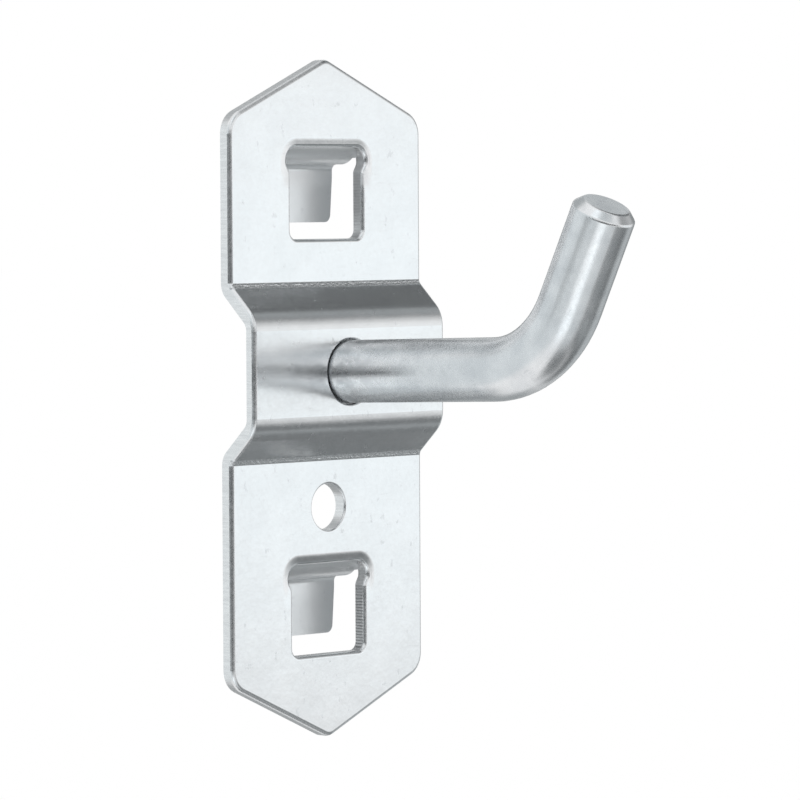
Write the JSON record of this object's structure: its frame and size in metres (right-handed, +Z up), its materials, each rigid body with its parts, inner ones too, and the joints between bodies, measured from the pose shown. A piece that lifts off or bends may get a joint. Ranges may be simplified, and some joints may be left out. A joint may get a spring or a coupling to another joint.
{
  "type": "pegboard hook",
  "caption": "Steel pegboard hook: a pressed plate with pointed ends and folded tabs that hang in a perforated panel, and a bent peg fixed in its raised band.",
  "frame": {"origin": "on the plane of the plate's back, which lies on the panel, in the plate's plane of symmetry, at the level where the peg passes through the raised band", "axes": "+Z up along the plate, +Y into the panel, X across the plate; the peg points to -Y"},
  "size_m": [0.0186, 0.031, 0.0465],
  "materials": {
    "plated_sheet": "bright zinc plating on pressed sheet steel, satin",
    "plated_rod": "bright zinc plating on drawn steel rod, satin"
  },
  "bodies": {
    "root": {"back_plate": "plated_sheet", "peg": "plated_rod"}
  },
  "joints": []
}
